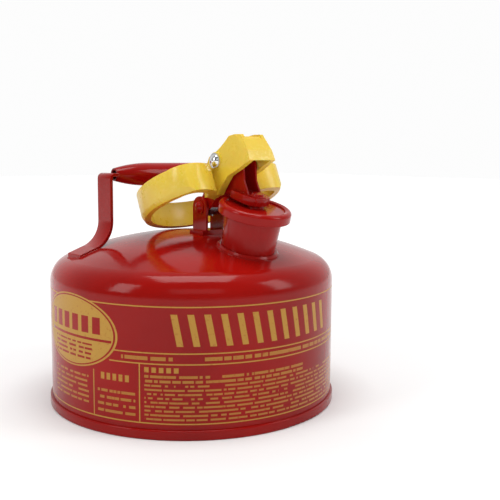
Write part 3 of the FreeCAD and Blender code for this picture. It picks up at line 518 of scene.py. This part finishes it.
def side_seam(material):
    """Welded side seam down the back of the wall."""
    shape = bmesh.new()
    low = SEAM_HIGH[2] + SEAM_GAP
    rows = []
    for step in range(SEAM_STEPS + 1):
        z = low + (SEAM_END - low) * step / SEAM_STEPS
        row = []
        for column in range(SEAM_COLUMNS + 1):
            share = 2 * column / SEAM_COLUMNS - 1
            uneven = 1 + SEAM_SWELL * math.sin(step * SEAM_WAVE)
            lift = SEAM_RISE * (1 - share * share) * uneven
            turn = math.pi / 2 + share * SEAM_HALF_WIDTH / BODY_RADIUS
            reach = BODY_RADIUS + lift - SEAM_SUNK
            row.append(shape.verts.new((reach * math.cos(turn), reach * math.sin(turn), z)))
        rows.append(row)
    for below, above in zip(rows, rows[1:]):
        for column in range(SEAM_COLUMNS):
            shape.faces.new((below[column + 1], below[column], above[column],
                             above[column + 1]))
    new_piece("side_seam", shape, material, "can")


# ---------------------------------------------------------------- studio

FLOOR_SIZE = 12
BACKDROP = (0.60, 0.79, 0.15)
BACKDROP_FADE = {"From Min": -0.35, "From Max": 0.75, "To Min": 0.16, "To Max": 0.80}
BACKGROUND_WHITE = 0.98
LIGHT_TARGET = Vector((0, 0, 0.11))
SOFTBOXES = (
    {"name": "top_box", "place": (-0.10, -0.15, 1.35), "size": (0.9, 0.7), "power": 11},
    {"name": "left_box", "place": (-1.30, 0.10, 0.75), "size": (0.40, 0.8), "power": 5},
    {"name": "right_box", "place": (0.75, -1.00, 0.75), "size": (0.40, 0.8), "power": 4.5},
    {"name": "front_fill", "place": (-0.9, -1.35, 0.95), "size": (1.2, 0.6), "power": 2},
)
LENS, SENSOR_WIDTH, CLIP_START = 56.0, 36.0, 0.01
CAMERA_PLACE = Vector((0, -0.6271, 0.1938))
CAMERA_ROUND = math.radians(-37)
PITCH, YAW, ROLL = math.radians(6.90), math.radians(4.22), math.radians(0.459)


def floor():
    """A plain floor under the can."""
    bpy.ops.mesh.primitive_plane_add(size=FLOOR_SIZE, location=(0, 0, 0))
    plane = bpy.context.object
    plane.name = "studio_floor"
    plane.data.materials.append(pale_floor())


def softbox(name, place, size, power):
    """A large soft area light that faces the can."""
    data = bpy.data.lights.new(name, "AREA")
    data.shape = "RECTANGLE"
    data.size, data.size_y = size
    data.energy = power
    lamp = bpy.data.objects.new(name, data)
    lamp.location = place
    lamp.rotation_euler = (LIGHT_TARGET - Vector(place)).to_track_quat("-Z", "Y").to_euler()
    bpy.context.scene.collection.objects.link(lamp)


def studio():
    """Soft lights and a room that lights the can from the backdrop's side and is dim on the
    other. Seen directly, it is plain white on every side."""
    world = bpy.data.worlds.new("studio_world")
    world.use_nodes = True
    tree = world.node_tree
    background = tree.nodes["Background"]
    background.inputs["Color"].default_value = PURE_WHITE
    towards = tree.nodes.new("ShaderNodeVectorMath")
    towards.operation = "DOT_PRODUCT"
    towards.inputs[1].default_value = BACKDROP
    direction = tree.nodes.new("ShaderNodeTexCoord").outputs["Generated"]
    tree.links.new(direction, towards.inputs[0])
    shine = tree.nodes.new("ShaderNodeMapRange")
    tree.links.new(towards.outputs["Value"], shine.inputs["Value"])
    for name, level in BACKDROP_FADE.items():
        shine.inputs[name].default_value = level
    strength = tree.nodes.new("ShaderNodeMapRange")
    strength.inputs["To Max"].default_value = BACKGROUND_WHITE
    tree.links.new(shine.outputs[0], strength.inputs["To Min"])
    seen = tree.nodes.new("ShaderNodeLightPath").outputs["Is Camera Ray"]
    tree.links.new(seen, strength.inputs["Value"])
    tree.links.new(strength.outputs[0], background.inputs["Strength"])
    bpy.context.scene.world = world
    for settings in SOFTBOXES:
        softbox(**settings)
    bpy.context.scene.view_settings.view_transform = "Standard"


def camera():
    """A long lens a little above the can, part of the way round from its spout."""
    turn = Matrix.Rotation(CAMERA_ROUND, 3, "Z")
    forward = Vector((math.sin(YAW) * math.cos(PITCH), math.cos(YAW) * math.cos(PITCH),
                      -math.sin(PITCH)))
    right = Vector((math.cos(YAW), -math.sin(YAW), 0))
    up = right.cross(forward)
    rolled_right = right * math.cos(ROLL) + up * math.sin(ROLL)
    rolled_up = up * math.cos(ROLL) - right * math.sin(ROLL)
    columns = (turn @ rolled_right, turn @ rolled_up, turn @ -forward)
    axes = Matrix(columns).transposed().to_4x4()
    axes.translation = turn @ CAMERA_PLACE
    data = bpy.data.cameras.new("camera")
    data.lens = LENS
    data.sensor_width = SENSOR_WIDTH
    data.clip_start = CLIP_START
    made = bpy.data.objects.new("camera", data)
    made.matrix_world = axes
    bpy.context.scene.collection.objects.link(made)
    bpy.context.scene.camera = made


camera()
studio()
floor()
plain_red = dress_cad()
spout_bead(plain_red)
foot_beads(plain_red)
side_seam(plain_red)
